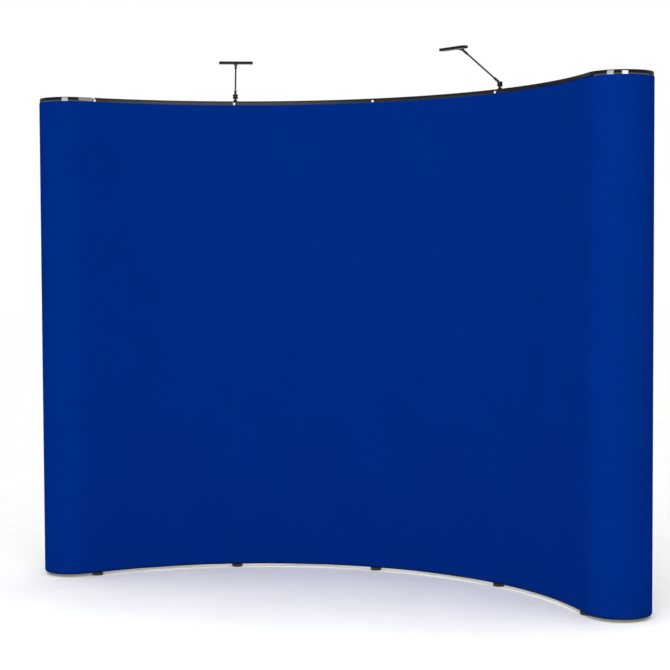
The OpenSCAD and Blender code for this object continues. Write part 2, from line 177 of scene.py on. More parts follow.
LEFT_TOP, RIGHT_TOP = (-1.3, -0.35, 2.2), (1.3, -0.35, 2.2)
softbox("key", (1.4, -3.7, 2.6), (0.9, 0, 1.3), (2.4, 1.6), 5.6)
softbox("low_fill", (-0.3, -3.4, 0.45), (0, 0, 0.4), (2.6, 0.8), 4.4)
softbox("rear_panel", (-1.5, 4.5, 3.2), (0, 0, 1.2), (3.0, 2.0), 2.0, True)
softbox("front_panel", (2.4, -4.6, 2.4), (0, 0, 2.2), (8.0, 3.0), 1.5, True, "front")
softbox("strip_left", (-0.2, -4.4, 2.3), (0, 0, 2.3), (1.8, 3.4), 6.5, True, "ends")
softbox("strip_right", (4.3, -5.5, 2.4), RIGHT_TOP, (2.1, 3.4), 12.0, True, "right")
softbox("strip_side", (4.5, -1.8, 3.4), LEFT_TOP, (1.6, 4.4), 3.0, True, "left")

# %% [markdown]
# ## Surfaces from numbers
#
# Nearly every piece of the wall is an outline carried along a line, or one spun round an axis.
# Both are a grid of points: stations along the way, times points round the outline. One class holds
# such a surface, and remembers for each face corner how far along and how far round it lies, in
# metres. That becomes the UV map, so a weave or a brushed grain keeps its real size on the surface.

# %% Grids of points
class Shape:
    """Points, faces, the (along, round) place of each face corner, and a finish number a face."""

    def __init__(self, points, faces, places, finish):
        self.points, self.faces, self.places, self.finish = points, faces, places, finish


def lengths_along(points):
    """Distance travelled from the first point to each point of a line."""
    steps = np.linalg.norm(np.diff(points, axis=0), axis=1)
    return np.concatenate([[0], np.cumsum(steps)])


def skin(points, finish_of=None):
    """
    Faces on a grid of points (stations, outline, 3); the outline closes and both ends are capped.
    A corner's place is the length along the stations and the length round the middle outline.
    finish_of gives the finish number of the face at a station and outline number.
    """
    n, m = points.shape[:2]
    along = lengths_along(points.mean(axis=1))
    middle = points[n // 2]
    round_it = lengths_along(np.vstack([middle, middle[:1]]))
    i, j = (g.ravel() for g in np.meshgrid(np.arange(n - 1), np.arange(m), indexing="ij"))
    k = (j + 1) % m
    quads = np.column_stack([i * m + j, i * m + k, (i + 1) * m + k, (i + 1) * m + j])
    places = np.stack([
        np.column_stack([along[i], along[i], along[i + 1], along[i + 1]]),
        np.column_stack([round_it[j], round_it[j + 1], round_it[j + 1], round_it[j]])], axis=-1)
    finish = finish_of(i, j) if finish_of else np.zeros(len(quads), int)
    caps = [list(range(m))[::-1], list(range((n - 1) * m, n * m))]
    cap_places = [np.column_stack([np.full(m, along[e]), round_it[:m]]) for e in (0, -1)]
    cap_places[0] = cap_places[0][::-1]
    return Shape(points.reshape(-1, 3), quads.tolist() + caps,
                 np.vstack([places.reshape(-1, 2), *cap_places]), np.concatenate([finish, [0, 0]]))


def joined(shapes):
    """Several shapes as one."""
    starts = np.cumsum([0] + [len(s.points) for s in shapes])
    faces = [[c + int(k) for c in f] for s, k in zip(shapes, starts) for f in s.faces]
    return Shape(np.vstack([s.points for s in shapes]), faces,
                 np.vstack([s.places for s in shapes]),
                 np.concatenate([s.finish for s in shapes]))


def placed(shape, place):
    """The shape moved by a 4 x 4 place: its points times the axes, plus the origin."""
    points = shape.points @ place[:3, :3].T + place[:3, 3]
    return Shape(points, shape.faces, shape.places, shape.finish)


print("3 stations of 4 outline points make", len(skin(np.zeros((3, 4, 3))).faces), "faces")

# %% [markdown]
# ## Outlines
#
# A panel or a rail has a rectangular section with soft corners. A Bevel modifier could round them,
# but corners drawn as quarter circles leave rows of points exactly where a finish changes. Carried
# along a path, a section makes a strip; a profile turned round an axis makes a foot or a screw.

# %% Outlines, and carrying or turning them
def rounded(low, high, radius, rows=1, steps=4):
    """
    A rectangle in (depth, height) with its corners rounded by quarter circles. It climbs the front
    side, crosses the top, and comes down the back; rows is how many spans the sides are cut into.
    """
    (d0, z0), (d1, z1) = low, high
    quarter = np.linspace(0, math.pi / 2, steps + 1)

    def corner(d, z, start):
        angle = start - quarter
        return np.column_stack([d + radius * np.cos(angle), z + radius * np.sin(angle)])

    climb = np.linspace(z0 + radius, z1 - radius, rows + 1)[1:-1]
    return np.vstack([
        corner(d0 + radius, z0 + radius, -math.pi / 2),
        np.column_stack([np.full_like(climb, d0), climb]),
        corner(d0 + radius, z1 - radius, math.pi),
        corner(d1 - radius, z1 - radius, math.pi / 2),
        np.column_stack([np.full_like(climb, d1), climb[::-1]]),
        corner(d1 - radius, z0 + radius, 0)])


def carried(path, outline, swell=None):
    """
    The grid of an outline carried along a plan path. A point is its station plus the station's back
    direction times its depth, at its own height; swell scales the depth about the outline's middle.
    """
    stations, back = path
    depth = np.broadcast_to(outline[:, 0], (len(stations), len(outline)))
    if swell is not None:
        middle = (outline[:, 0].min() + outline[:, 0].max()) / 2
        depth = middle + (depth - middle) * swell[:, None]
    flat = stations[:, None, :] + back[:, None, :] * depth[:, :, None]
    height = np.broadcast_to(outline[:, 1], depth.shape)
    return np.dstack([flat, height])


def turned(profile, sides=32, lobes=0, lobe_depth=0.0):
    """
    The grid of a profile of (radius, height) rows spun about Z: x = r cos t, y = r sin t. Lobes
    scallop it, by taking lobe_depth times half of 1 + cos(lobes t) off the radius.
    """
    t = np.linspace(0, 2 * math.pi, sides, endpoint=False)
    profile = np.asarray(profile, float)
    depth = np.minimum(lobe_depth, profile[:, :1] / 2) * (lobes > 0)
    radius = profile[:, :1] - depth * (1 + np.cos(lobes * t)) / 2
    height = np.broadcast_to(profile[:, 1:], radius.shape)
    return np.dstack([radius * np.cos(t), radius * np.sin(t), height])


print("a rounded rectangle has", len(rounded((0, 0), (1, 1), 0.1)), "points")

# %% [markdown]
# ## Making a piece
#
# A finished piece is one mesh at the origin that rides on a CAD body. Its shading is smooth across
# gentle bends and crisp at edges. Where the CAD shape is already right, such as a slotted hub, the
# quickest good piece is a copy of it: merge its loose triangles, dissolve the flat ones, and let a
# Bevel modifier round the edges as a mould would, because a rounded edge is what catches light.

# %% Pieces
FLAT = math.radians(0.5)  # faces that meet flatter than this are merged
EDGE = math.radians(30)  # edges sharper than this are rounded


def finish_piece(piece, body, finishes, slot, nodes, sharp):
    """Smooth shading with sharp edges past an angle, finishes, body and replaced nodes; slot is not
    used.
    """
    for material in finishes:
        piece.data.materials.append(material)
    piece.data.polygons.foreach_set("use_smooth", np.ones(len(piece.data.polygons), bool))
    piece.data.set_sharp_from_angle(angle=math.radians(sharp))
    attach(piece, body)
    if nodes:
        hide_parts(*nodes)
    return piece


def new_piece(name, shape, body, finishes, slot, nodes=(), sharp=35):
    """A piece from a shape, with its UV map in metres and its faces turned outwards."""
    mesh = bpy.data.meshes.new(name)
    mesh.from_pydata(shape.points.tolist(), [], shape.faces)
    corners = shape.places.astype(np.float32).ravel()
    mesh.uv_layers.new(name="UVMap").data.foreach_set("uv", corners)
    mesh.polygons.foreach_set("material_index", shape.finish.astype(np.int32))
    work = bmesh.new()
    work.from_mesh(mesh)
    bmesh.ops.remove_doubles(work, verts=work.verts, dist=WELD)
    bmesh.ops.recalc_face_normals(work, faces=work.faces)
    work.to_mesh(mesh)
    work.free()
    piece = bpy.data.objects.new(name, mesh)
    scene.collection.objects.link(piece)
    print(f"{name}: {len(mesh.polygons)} faces")
    return finish_piece(piece, body, finishes, slot, nodes, sharp)


def softened(name, node, body, finish, slot, width, segments=2):
    """A copy of a CAD node with its triangles merged and its edges rounded by a Bevel modifier."""
    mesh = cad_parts[node].data.copy()
    mesh.materials.clear()
    mesh.name = name
    work = bmesh.new()
    work.from_mesh(mesh)
    bmesh.ops.remove_doubles(work, verts=work.verts, dist=WELD)
    bmesh.ops.dissolve_limit(work, angle_limit=FLAT, verts=work.verts, edges=work.edges)
    work.to_mesh(mesh)
    work.free()
    piece = bpy.data.objects.new(name, mesh)
    scene.collection.objects.link(piece)
    bevel = piece.modifiers.new("rounded edges", "BEVEL")
    bevel.width, bevel.segments = width, segments
    bevel.limit_method = "ANGLE"
    bevel.angle_limit = EDGE
    print(f"{name}: {len(mesh.polygons)} faces before its bevel")
    return finish_piece(piece, body, [finish], slot, [node], sharp=45)


def refinish(node, material):
    """A CAD node that stays as it is and only gets a finish."""
    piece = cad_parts[node]
    piece.data.materials.clear()
    piece.data.materials.append(material)


# %% [markdown]
# ## Places on the wall
#
# The wall is an arc of four bays. Every upright column has its own axes: X along the wall, Y back
# from the display face, Z up. A CAD node measured on those axes gives the depths and heights,
# so the dressing follows the frame if the frame changes. Only the driving sizes are written here.

# %% Columns and what stands on them
WALL_RADIUS = 1429 * MM  # of the display face, seen from above
BAY_ANGLE = math.radians(27)
BAYS, ROWS = 4, 3
COLUMNS = BAYS + 1
PANEL_T = 3 * MM
RAIL_T = 3 * MM
arc_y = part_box("front_panel_3")[1].y - WALL_RADIUS - PANEL_T  # the arc's centre


def column_angle(column):
    """Columns stand a bay's angle apart, counted from 1 at the left, with 0 in the middle."""
    return (column - 1 - BAYS / 2) * BAY_ANGLE


def radial(angle, x=0.0, y=0.0, z=0.0):
    """A place on the radius at an angle: X along the wall, Y back from the display face."""
    along = np.array([math.cos(angle), -math.sin(angle), 0])
    back = np.array([math.sin(angle), math.cos(angle), 0])
    place = np.eye(4)
    place[:3, 0], place[:3, 1] = along, back
    place[:3, 3] = np.array([0, arc_y, z]) + (WALL_RADIUS + y) * back + x * along
    return place


def column_place(column, x=0.0, y=0.0, z=0.0):
    """The same on a column's own axes."""
    return radial(column_angle(column), x, y, z)


def end_place(side):
    """The front seam of an end panel; its X axis points away from the wall on both sides."""
    place = column_place(COLUMNS)
    return place if side == "right" else np.diag([-1.0, 1, 1, 1]) @ place


def measured(node, place):
    """Lowest and highest corner of a CAD node on a place's own axes."""
    points = np.array([v.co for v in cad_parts[node].data.vertices])
    local = (points - place[:3, 3]) @ place[:3, :3]
    return local.min(axis=0), local.max(axis=0)


end_low, end_high = measured("end_panel_right", end_place("right"))
rail_low, rail_high = measured("end_top_rail_right", end_place("right"))
low_rail_low, low_rail_high = measured("end_bottom_rail_right", end_place("right"))
END_RADIUS = end_high[1] / 2
END_RUN = end_high[0] - END_RADIUS
RAIL_DEPTH = rail_low[1]
FABRIC_LOW, FABRIC_HIGH = end_low[2], end_high[2]
print("end radius, run and rail depth:", [round(v, 4) for v in (END_RADIUS, END_RUN, RAIL_DEPTH)])

# %% [markdown]
# ## Paths in plan
#
# Seen from above, a panel and its rails follow one line: an arc along a bay, or straight, round and
# back at an end. A curve object could carry them, but listed stations sit where they are
# needed: close together at a cut edge, which has to be rounded, and further apart in between.

# %% Paths in plan
EDGE_STEPS = np.array([0.01, 0.04, 0.1, 0.17, 0.25, 3.0, 14.0]) * MM  # from a cut edge


def stations(length, step):
    """Distances along a strip: close together at both cut edges, a step apart between them."""
    first, last = EDGE_STEPS[-1], length - EDGE_STEPS[-1]
    middle = np.linspace(first, last, max(2, round((last - first) / step)) + 1)
    return np.concatenate([EDGE_STEPS[:-1], middle, length - EDGE_STEPS[:-1][::-1]])


def bay_path(bay, margin, step=14 * MM):
    """Along a bay at the wall's radius, short of its left and right seam by the margin."""
    distance = stations(WALL_RADIUS * BAY_ANGLE - 2 * margin, step)
    angle = column_angle(bay) + (margin + distance) / WALL_RADIUS
    back = np.column_stack([np.sin(angle), np.cos(angle)])
    return distance, (np.array([0, arc_y]) + WALL_RADIUS * back, back)


def wrap_path(side, start, lip, step=6 * MM):
    """
    Round an end panel: straight away from the seam, half a turn round the end's centre, straight
    back. On the turn a point is the centre plus radius times (sin f, -cos f), and back is its
    opposite; start and lip are where the two straight runs begin and end, on the seam's axes.
    """
    turn_length = math.pi * END_RADIUS
    distance = stations(END_RUN - start + turn_length + END_RUN - lip, step)
    s = distance + start
    f = np.clip((s - END_RUN) / END_RADIUS, 0, math.pi)
    out = np.column_stack([np.sin(f), -np.cos(f)])
    local = np.array([END_RUN, END_RADIUS]) + END_RADIUS * out
    local[:, 0] += np.minimum(s - END_RUN, 0) - np.maximum(s - END_RUN - turn_length, 0)
    place = end_place(side)
    axes = place[:2, :2]
    return distance, (local @ axes.T + place[:2, 3], -out @ axes.T)


print("a bay runs", round(float(bay_path(1, 0)[0][-1]), 4), "m")
print("an end panel runs", round(float(wrap_path("right", 0, end_low[0])[0][-1]), 4), "m")

# %% [markdown]
# ## Finishes
#
# Most finishes here are one recipe: a real material is never even, and its colour, roughness and
# relief vary together with its grain. One noise sized in millimetres drives all three, and a broad
# second one adds handling wear. What differs is the grain's size, its direction and how deep it is.

# %% A grained finish
WEAR = 1 / 12  # size in metres of the broad patches


def grained(name, dark, light, grain, rough, relief, coords="Object", stretch=(1, 1, 1), **sockets):
    """
    A finish driven by noise: colour from dark to light, roughness from rough[0] to rough[1], and
    relief metres deep. grain is the noise's size; a small stretch draws it out along that axis.
    """
    material = bpy.data.materials.new(name)
    material.use_nodes = True
    tree = material.node_tree
    shader = tree.nodes["Principled BSDF"]
    for socket, value in sockets.items():
        shader.inputs[socket.replace("_", " ")].default_value = value
    where = add(tree, "ShaderNodeTexCoord")
    spot = add(tree, "ShaderNodeMapping", {"Vector": where.outputs[coords], "Scale": stretch})
    fine = add(tree, "ShaderNodeTexNoise", {
        "Vector": spot.outputs["Vector"], "Scale": 1 / grain, "Detail": 3.0})
    broad = add(tree, "ShaderNodeTexNoise", {
        "Vector": where.outputs[coords], "Scale": 1 / WEAR, "Detail": 2.0})
    both = add(tree, "ShaderNodeMath", {
        0: fine.outputs["Fac"], 1: broad.outputs["Fac"]}, operation="ADD")
    share = add(tree, "ShaderNodeMapRange", {
        "Value": both.outputs["Value"], "From Min": 0.7, "From Max": 1.3})
    colour = add(tree, "ShaderNodeMixRGB", {
        "Fac": share.outputs["Result"], "Color1": linear(dark), "Color2": linear(light)})
    gloss = add(tree, "ShaderNodeMapRange", {
        "Value": share.outputs["Result"], "To Min": rough[0], "To Max": rough[1]})
    bump = add(tree, "ShaderNodeBump", {"Height": fine.outputs["Fac"], "Distance": relief})
    tree.links.new(colour.outputs["Color"], shader.inputs["Base Color"])
    tree.links.new(gloss.outputs["Result"], shader.inputs["Roughness"])
    tree.links.new(bump.outputs["Normal"], shader.inputs["Normal"])
    return material


# %% [markdown]
# ## Loop fabric
#
# The panels are faced with brushed nylon loop: a knit whose face is teased into tiny loops, so that
# hooked tape grips it anywhere. It is matt, with a faint bloom at glancing angles, and its loops
# lean a little this way and that. An image of cloth could be laid on it, but cells the size of the
# loops give the same broken surface, and stay sharp at any distance.

# %% Loop fabric
LOOP = 2 * MM  # real loops are under 1 mm; they are drawn at 2 mm, so that they can show at all
NAP, PILE_LEAN = 14 * MM, 350 * MM
LOOP_HEIGHT = 0.25 * MM


def loop_fabric():
    """Voronoi cells for the loops, with painted shade in the gaps between them, and noise for the
    nap; places come from the UV map in metres.
    """
    material = bpy.data.materials.new("brushed_nylon_loop")
    material.use_nodes = True
    tree = material.node_tree
    shader = tree.nodes["Principled BSDF"]
    where = add(tree, "ShaderNodeTexCoord").outputs["UV"]
    loops = add(tree, "ShaderNodeTexVoronoi", {
        "Vector": where, "Scale": 1 / LOOP, "Randomness": 0.85})
    nap = add(tree, "ShaderNodeTexNoise", {"Vector": where, "Scale": 1 / NAP, "Detail": 4.0})
    leaning = add(tree, "ShaderNodeTexNoise", {
        "Vector": where, "Scale": 1 / PILE_LEAN, "Detail": 1.0})
    mottle = add(tree, "ShaderNodeMath", {
        0: nap.outputs["Fac"], 1: leaning.outputs["Fac"]}, operation="ADD")
    share = add(tree, "ShaderNodeMapRange", {
        "Value": mottle.outputs["Value"], "From Min": 0.6, "From Max": 1.4})
    ground = add(tree, "ShaderNodeMixRGB", {
        "Fac": share.outputs["Result"], "Color1": linear("#012473"), "Color2": linear("#01287c")})
    # Painted shade: the gaps between the loops are darkened towards #001a52, as if shaded in the
    # hollows of the pile.
    loop_gap_shade = add(tree, "ShaderNodeMapRange", {
        "Value": loops.outputs["Distance"], "From Min": 0.3, "From Max": 0.8, "To Max": 0.7})
    colour = add(tree, "ShaderNodeMixRGB", {
        "Fac": loop_gap_shade.outputs["Result"], "Color1": ground.outputs["Color"],
        "Color2": linear("#001a52")})
    pile = add(tree, "ShaderNodeMath", {0: 1.0, 1: loops.outputs["Distance"]}, operation="SUBTRACT")
    height = add(tree, "ShaderNodeMath", {
        0: pile.outputs["Value"], 1: nap.outputs["Fac"]}, operation="ADD")
    bump = add(tree, "ShaderNodeBump", {
        "Height": height.outputs["Value"], "Distance": LOOP_HEIGHT, "Strength": 0.6})
    tree.links.new(colour.outputs["Color"], shader.inputs["Base Color"])
    tree.links.new(bump.outputs["Normal"], shader.inputs["Normal"])
    shader.inputs["Roughness"].default_value = 0.92
    shader.inputs["Specular IOR Level"].default_value = 0.0
    shader.inputs["Sheen Weight"].default_value = 0.03
    shader.inputs["Sheen Roughness"].default_value = 0.45
    shader.inputs["Sheen Tint"].default_value = linear("#2f62d8")
    return material


fabric = loop_fabric()
# The board behind the fabric is faced with a dark grey needled felt
felt = grained("needled_felt_backing", "#26272b", "#3a3c42", 2.5 * MM, (0.85, 0.98), 0.2 * MM)
print("finishes:", fabric.name, felt.name)

# %% [markdown]
# ## Black and silver finishes
#
# The rails are extruded ABS with a polished face; those round the ends are lacquered as well, and
# mirror the lights. The channel bars are black anodised, the struts and rods silver anodised, with
# a drawn grain along their length. Hubs are glass-filled nylon, with the fine grain of a
# spark-eroded mould. Metals keep the default IOR, and plastics sit near 1.5. Each row gives the
# dark and light colour, the grain's size, the least and most roughness, and the relief.

# %% Finishes for the frame
rail_satin = grained(
    "extruded_black_abs", "#0b0c0f", "#111216", 30 * MM, (0.3, 0.38), 0.01 * MM)
rail_gloss = grained(
    "lacquered_black_abs", "#050607", "#08090b", 40 * MM, (0.06, 0.09), 0.004 * MM,
    Coat_Weight=1.0, Coat_Roughness=0.03)
low_rail_finish = grained(
    "matt_black_pvc", "#050506", "#0a0a0b", 20 * MM, (0.6, 0.7), 0.01 * MM,
    Specular_IOR_Level=0.2)
tape_finish = grained(
    "magnetic_rubber_tape", "#161618", "#202125", 0.8 * MM, (0.6, 0.75), 0.05 * MM)
bar_finish = grained(
    "black_anodised_extrusion", "#17181b", "#24262a", 0.5 * MM, (0.35, 0.5), 0.02 * MM,
    stretch=(1, 1, 0.02), Metallic=0.6)
tube_finish = grained(
    "silver_anodised_tube", "#a9adb3", "#c9ccd1", 0.6 * MM, (0.26, 0.4), 0.015 * MM,
    coords="UV", stretch=(0.03, 1, 1), Metallic=1.0)
rod_finish = grained(
    "silver_anodised_rod", "#a4a8ae", "#c4c7cc", 1.2 * MM, (0.3, 0.42), 0.01 * MM, Metallic=1.0)
steel_finish = grained(
    "zinc_plated_steel", "#b4b6b8", "#d8dadc", 1.5 * MM, (0.2, 0.34), 0.01 * MM, Metallic=1.0)
hub_finish = grained(
    "glass_filled_nylon", "#101114", "#1d1f24", 0.6 * MM, (0.42, 0.58), 0.03 * MM)
foot_finish = grained(
    "moulded_pvc", "#17181b", "#25272b", 0.9 * MM, (0.22, 0.34), 0.03 * MM)
hook_finish = grained(
    "white_acetal", "#c4c5ca", "#d6d7db", 3 * MM, (0.22, 0.32), 0.01 * MM,
    Subsurface_Weight=0.05)
print("finishes so far:", len(bpy.data.materials))

# %% [markdown]
# ## Finishes for the lights
#
# The lights are powder coated, with an enamelled arm, rubber sleeves and a smoked lens. They could
# share the frame's blacks, but a powder coat is rougher than a polished rail, and that shows.

# %% Finishes for the lights
coat_finish = grained(
    "black_powder_coat", "#08090a", "#0f1012", 1.1 * MM, (0.42, 0.55), 0.05 * MM,
    Specular_IOR_Level=0.35)
arm_finish = grained(
    "grey_enamelled_arm", "#38393c", "#45474a", 3 * MM, (0.34, 0.46), 0.01 * MM,
    Specular_IOR_Level=0.25)
sleeve_finish = grained(
    "black_rubber_sleeve", "#0c0c0d", "#161617", 0.7 * MM, (0.6, 0.75), 0.05 * MM)
lens_finish = grained(
    "smoked_polycarbonate", "#1a1b1d", "#26282b", 0.8 * MM, (0.25, 0.4), 0.03 * MM)
print("finishes:", len(bpy.data.materials))

# %% [markdown]
# ## The fabric panels
#
# A panel is loop fabric laminated to a thin springy board and folded round its edges, with a hem of
# 14 mm on the back. It could be a plane with Solidify, but then its edge would be a hard step. Here
# the outline has round top and bottom edges, and its thickness swells from nothing at the upright
# edges, like a folded cloth edge, so two neighbours meet in a fine soft seam.

# %% Front panels and end panels
HEM = 14 * MM
EDGE_R = 0.8 * MM  # of the top and bottom edges
FOLD_R = 0.25 * MM  # of the upright edges
PANEL_ROWS = 40
SEAM = 0.06 * MM  # half the gap between neighbours


def panel_outline():
    """Round-edged outline of a panel, with extra rows at the hems."""
    outline = rounded((0, FABRIC_LOW), (PANEL_T, FABRIC_HIGH), EDGE_R, PANEL_ROWS, 4)
    top, bottom = FABRIC_HIGH - HEM, FABRIC_LOW + HEM
    rows = outline[:, 1].copy()
    for mark in (bottom, top):
        for depth in (0, PANEL_T):
            side = np.flatnonzero(np.isclose(outline[:, 0], depth))
            rows[side[np.abs(rows[side] - mark).argmin()]] = mark
    return np.column_stack([outline[:, 0], rows])


def edge_swell(distance):
    """Share of the thickness: a quarter circle of the fold's radius at both ends, then full."""
    from_edge = np.minimum(distance, distance[-1] + distance[0] - distance)
    return np.sqrt(1 - (1 - np.clip(from_edge / FOLD_R, 0, 1)) ** 2)


def panel(name, distance, path, body, node):
    """A fabric panel on a path; the back inside its hems shows the felt."""
    outline = panel_outline()
    grid = carried(path, outline, edge_swell(distance))
    depth = (outline[:, 0] + np.roll(outline[:, 0], -1)) / 2
    height = (outline[:, 1] + np.roll(outline[:, 1], -1)) / 2
    inside = (height > FABRIC_LOW + HEM) & (height < FABRIC_HIGH - HEM)
    felt_rows = inside & (depth > 0.9 * PANEL_T)
    middle = (distance[:-1] + distance[1:]) / 2
    felt_spans = (middle > HEM) & (middle < distance[-1] - HEM)

    def finish_of(station, row):
        return (felt_spans[station] & felt_rows[row]).astype(int)

    return new_piece(name, skin(grid, finish_of), body, [fabric, felt], "fabric", [node], sharp=50)


for bay in range(1, BAYS + 1):
    panel(
        f"fabric_panel_{bay}", *bay_path(bay, SEAM), "root", f"front_panel_{bay}")
for side in SIDES:
    panel(
        f"fabric_end_panel_{side}", *wrap_path(side, SEAM, end_low[0]),
        f"end_{side}", f"end_panel_{side}")
END_FLAT = (float(wrap_path("right", 0, end_low[0])[0][-1]), FABRIC_HIGH - FABRIC_LOW)

# %% [markdown]
# ## The rails
#
# Each panel hangs from a black rail that stands a little above the fabric, and a second rail
# stiffens its lower edge. A flat face would mirror one spot of the room. This one is slightly
# bowed, so its lower half mirrors the pale floor and its upper half the dim room, which gives the
# rail its shading from grey to dark.

# %% Top and bottom rails
BOW = 1.1 * MM
RAIL_EDGE_R = 0.5 * MM
RAIL_SEAM = 0.5 * MM
RAIL_START, RAIL_LIP = rail_low[0], 25 * MM
LOW_RAIL_START = 1 * MM
RAIL_STEP, LOOP_STEP = 10 * MM, 4 * MM


def bowed_rail(z_low, z_high, show_low, show_high):
    """Outline of a rail whose front is bowed by a parabola between two heights."""
    outline = rounded((RAIL_DEPTH, z_low), (RAIL_DEPTH + RAIL_T, z_high), RAIL_EDGE_R, 24, 3)
    middle, half = (show_low + show_high) / 2, (show_high - show_low) / 2
    bow = BOW * np.clip(1 - ((outline[:, 1] - middle) / half) ** 2, 0, 1)
    front = outline[:, 0] < RAIL_DEPTH + RAIL_T / 5
    outline[:, 0] -= np.where(front, bow, 0)
    return outline


def rail(name, path, outline, body, node, material, flags=()):
    """A rail on a path, in the light of the panels whose flags are named."""
    grid = carried(path, outline)
    piece = new_piece(name, skin(grid), body, [material], "rail", [node], sharp=30)
    for flag in flags:
        flagged[flag].objects.link(piece)
    return piece


top_outline = bowed_rail(rail_low[2], rail_high[2], FABRIC_HIGH, rail_high[2])
low_outline = bowed_rail(low_rail_low[2], low_rail_high[2], low_rail_low[2], FABRIC_LOW)
for bay in range(1, BAYS + 1):
    path = bay_path(bay, RAIL_SEAM, RAIL_STEP)[1]
    rail(
        f"top_rail_{bay}", path, top_outline, "root",
        f"front_top_rail_{bay}", rail_satin, ["front"])
    rail(
        f"bottom_rail_{bay}", path, low_outline, "root",
        f"front_bottom_rail_{bay}", low_rail_finish)
for side in SIDES:
    path = wrap_path(side, RAIL_START, RAIL_LIP, LOOP_STEP)[1]
    rail(
        f"end_top_rail_loop_{side}", path, top_outline, f"end_{side}",
        f"end_top_rail_{side}", rail_gloss, ["ends", side])
    path = wrap_path(side, LOW_RAIL_START, RAIL_LIP, LOOP_STEP)[1]
    rail(
        f"end_bottom_rail_loop_{side}", path, low_outline, f"end_{side}",
        f"end_bottom_rail_{side}", low_rail_finish)

# %% [markdown]

# %% [markdown]
# ## Bars and tapes
#
# A channel bar is a flat black extrusion with a groove for magnetic strip, cut in three lengths
# that meet at the hubs. The bar could be carried along a line like a rail, but the CAD shape is
# right already, so a copy with softened edges is enough.

# %% Bars and tapes
BAR_EDGE_R, TAPE_EDGE_R = 0.6 * MM, 0.4 * MM
for column in range(1, COLUMNS + 1):
    node = f"channel_bar_{column}"
    softened(f"{node}_extrusion", node, "root", bar_finish, "bar", BAR_EDGE_R)
for side in SIDES:
    node = f"rear_bar_{side}"
    softened(f"{node}_extrusion", node, "root", bar_finish, "bar", BAR_EDGE_R)
    node = f"end_tapes_{side}"
    softened(f"{node}_strips", node, f"end_{side}", tape_finish, "tape", TAPE_EDGE_R)
softened("front_tape_strips", "front_tapes", "root", tape_finish, "tape", TAPE_EDGE_R)

# %% [markdown]
# ## Struts
#
# A strut is a drawn tube, necked at both ends to a flat eye for its hinge pin. Making the neck by
# hand would mean many loop cuts. A superellipse does it with one formula: |y/w|^p + |z/h|^p = 1
# is a circle at p = 2 and nearly a rectangle at p = 5, and w, h and p change along the tube.

# %% Strut shape
HUB_DEPTH = 25.9 * MM  # a front hub's axis behind the display face
REAR_HUB_DEPTH = 251.9 * MM
PIN_X = 19 * MM  # a hinge pin from its hub's axis
STRUT_R = 6.5 * MM
STRUT_OFF = 6.65 * MM  # a strut's axis from the plane that its scissor crosses in
EYE_R = 6.5 * MM
EYE_HALF_T = 3 * MM
EYE_ENDS, TUBE_STARTS = 9 * MM, 24 * MM  # past the pin
PAST_PIN = np.array([-6.4, -6.0, -5.0, -3.5, -1.5, 1, 5, 9, 12, 15, 18, 21, 24, 40]) * MM
ROW_ONE, ROW_PITCH = 39 * MM, (2212 - 39) / 3 * MM  # hub rows: the lowest, and the step between


def smooth(t):
    """An even change from 0 to 1 that starts and ends level: 3 t^2 - 2 t^3."""
    t = np.clip(t, 0, 1)
    return t * t * (3 - 2 * t)


def strut(span, sides=20):
    """
    A tube along X from pin to pin. The eye's end is round: its half width is the root of
    r^2 - x^2 short of the pin. Where the eye ends, it starts to open into the full tube.
    """
    x = np.concatenate([PAST_PIN, span - PAST_PIN[::-1]])
    inside = np.minimum(x, span - x)
    opened = smooth((inside - EYE_ENDS) / (TUBE_STARTS - EYE_ENDS))
    width = np.where(inside < 0, np.sqrt(np.maximum(EYE_R ** 2 - inside ** 2, 0)), EYE_R)
    half_t = EYE_HALF_T + (STRUT_R - EYE_HALF_T) * opened
    power = 5 - 3 * opened
    t = np.linspace(0, 2 * math.pi, sides, endpoint=False) + math.pi / sides
    c, s = np.cos(t), np.sin(t)
    y = width[:, None] * np.sign(c) * np.abs(c) ** (2 / power[:, None])
    z = half_t[:, None] * np.sign(s) * np.abs(s) ** (2 / power[:, None])
    return skin(np.dstack([np.broadcast_to(x[:, None], y.shape), y, z]))


def between(start, stop, pin):
    """A place whose X axis runs from start to stop and whose Z axis is the pin's."""
    along = (stop - start) / np.linalg.norm(stop - start)
    place = np.eye(4)
    place[:3, 0], place[:3, 1], place[:3, 2] = along, np.cross(pin, along), pin
    place[:3, 3] = start
    return place


def point(column, x, y, z):
    """A point on a column's axes."""
    return column_place(column, x, y, z)[:3, 3]


def row_z(row):
    """The height of a row of hubs, counted from 0 at the floor."""
    return ROW_ONE + row * ROW_PITCH


# %% [markdown]
# ## Where the struts lie
#
# A scissor is two struts that cross at a rivet, between four hubs. The CAD struts could be softened
# copies too, but a tube built between its own two hinge pins gets its neck and its drawn grain
# right, whichever way it leans.

# %% Strut places
UP = np.array([0, 0, 1.0])


def bay_pairs(bay):
    """
    For each row, both struts of a bay's scissor as (start, stop), their pin's axis and the point
    where they cross. That point splits a strut as the front gap is to the rear gap.
    """
    for row in range(ROWS + 1):
        over, under = row_z(row) + STRUT_OFF, row_z(row) - STRUT_OFF
        upper = (point(bay, PIN_X, HUB_DEPTH, over), point(bay + 1, -PIN_X, REAR_HUB_DEPTH, over))
        lower = (point(bay + 1, -PIN_X, HUB_DEPTH, under), point(bay, PIN_X, REAR_HUB_DEPTH, under))
        front_gap, rear_gap = (np.linalg.norm((upper[e] - lower[e])[:2]) for e in (0, 1))
        share = front_gap / (front_gap + rear_gap)
        yield (upper, lower), UP, upper[0] * (1 - share) + upper[1] * share - STRUT_OFF * UP


